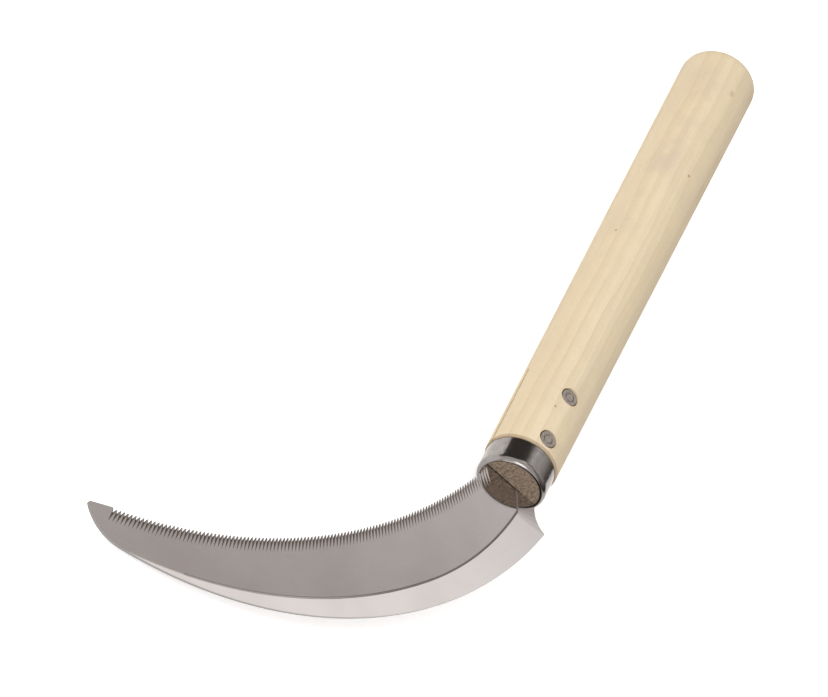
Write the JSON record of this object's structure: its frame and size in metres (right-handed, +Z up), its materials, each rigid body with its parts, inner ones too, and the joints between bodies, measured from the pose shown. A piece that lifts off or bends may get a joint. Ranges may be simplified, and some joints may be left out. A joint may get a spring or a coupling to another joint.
{
  "type": "serrated sickle",
  "caption": "Hand sickle with a curved, finely grooved steel blade held in a round wooden handle by a ferrule and through rivets.",
  "frame": {"origin": "centre of the bounding box at the height of the table that the tool rests on", "axes": "+X along the handle from the blade to the butt, +Y across to the side that the blade's tip is on, +Z up from the table"},
  "size_m": [0.3897, 0.1483, 0.032],
  "materials": {
    "handle": "pale close-grained wood, sanded, unvarnished",
    "ferrule": "bright plated steel, lightly polished along its length",
    "blade": "satin polished steel sheet with ground grooves",
    "rivets": "plain steel with dull flat heads"
  },
  "bodies": {
    "root": {"handle": "handle", "ferrule": "ferrule", "blade": "blade", "rivets": "rivets"}
  },
  "joints": []
}
